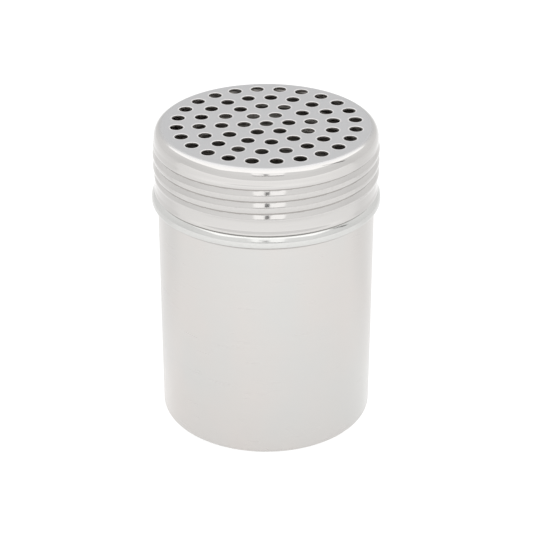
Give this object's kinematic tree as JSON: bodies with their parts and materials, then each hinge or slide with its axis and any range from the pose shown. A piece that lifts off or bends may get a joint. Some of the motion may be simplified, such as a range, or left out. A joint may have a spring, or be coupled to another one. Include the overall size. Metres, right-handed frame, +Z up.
{
  "type": "spice shaker",
  "caption": "Stainless steel shaker with a drawn cup, a rolled bead and threaded neck, and a perforated screw lid",
  "frame": {"origin": "centre of the foot, on the surface that the shaker stands on", "axes": "+Z up along the shaker's axis; -Y towards the viewer of the picture; +X to the viewer's right"},
  "size_m": [0.0696, 0.0696, 0.0961],
  "materials": {
    "buffed_stainless": "drawn stainless sheet, buffed to a soft shine with fine lines round the wall",
    "satin_stainless": "pressed stainless sheet, satin on the plate and brighter on the rolled skirt"
  },
  "bodies": {
    "cup": {"cup": "buffed_stainless"},
    "lid_hem": {"lid_hem": "satin_stainless"},
    "lid": {"lid": "satin_stainless"}
  },
  "joints": [
    {"name": "lid_rise", "type": "slide", "parent": "cup", "child": "lid_hem", "axis": [0, 0, 1], "range_m": [0, 0.021]},
    {"name": "lid_turn", "type": "hinge", "parent": "lid_hem", "child": "lid", "pos_m": [0, 0, 0.076], "axis": [0, 0, 1], "range_deg": [0, 1980]}
  ],
  "couplings": [
    {"joint": "lid_rise", "follows": "lid_turn", "m_per_rad": 0.00060479}
  ]
}
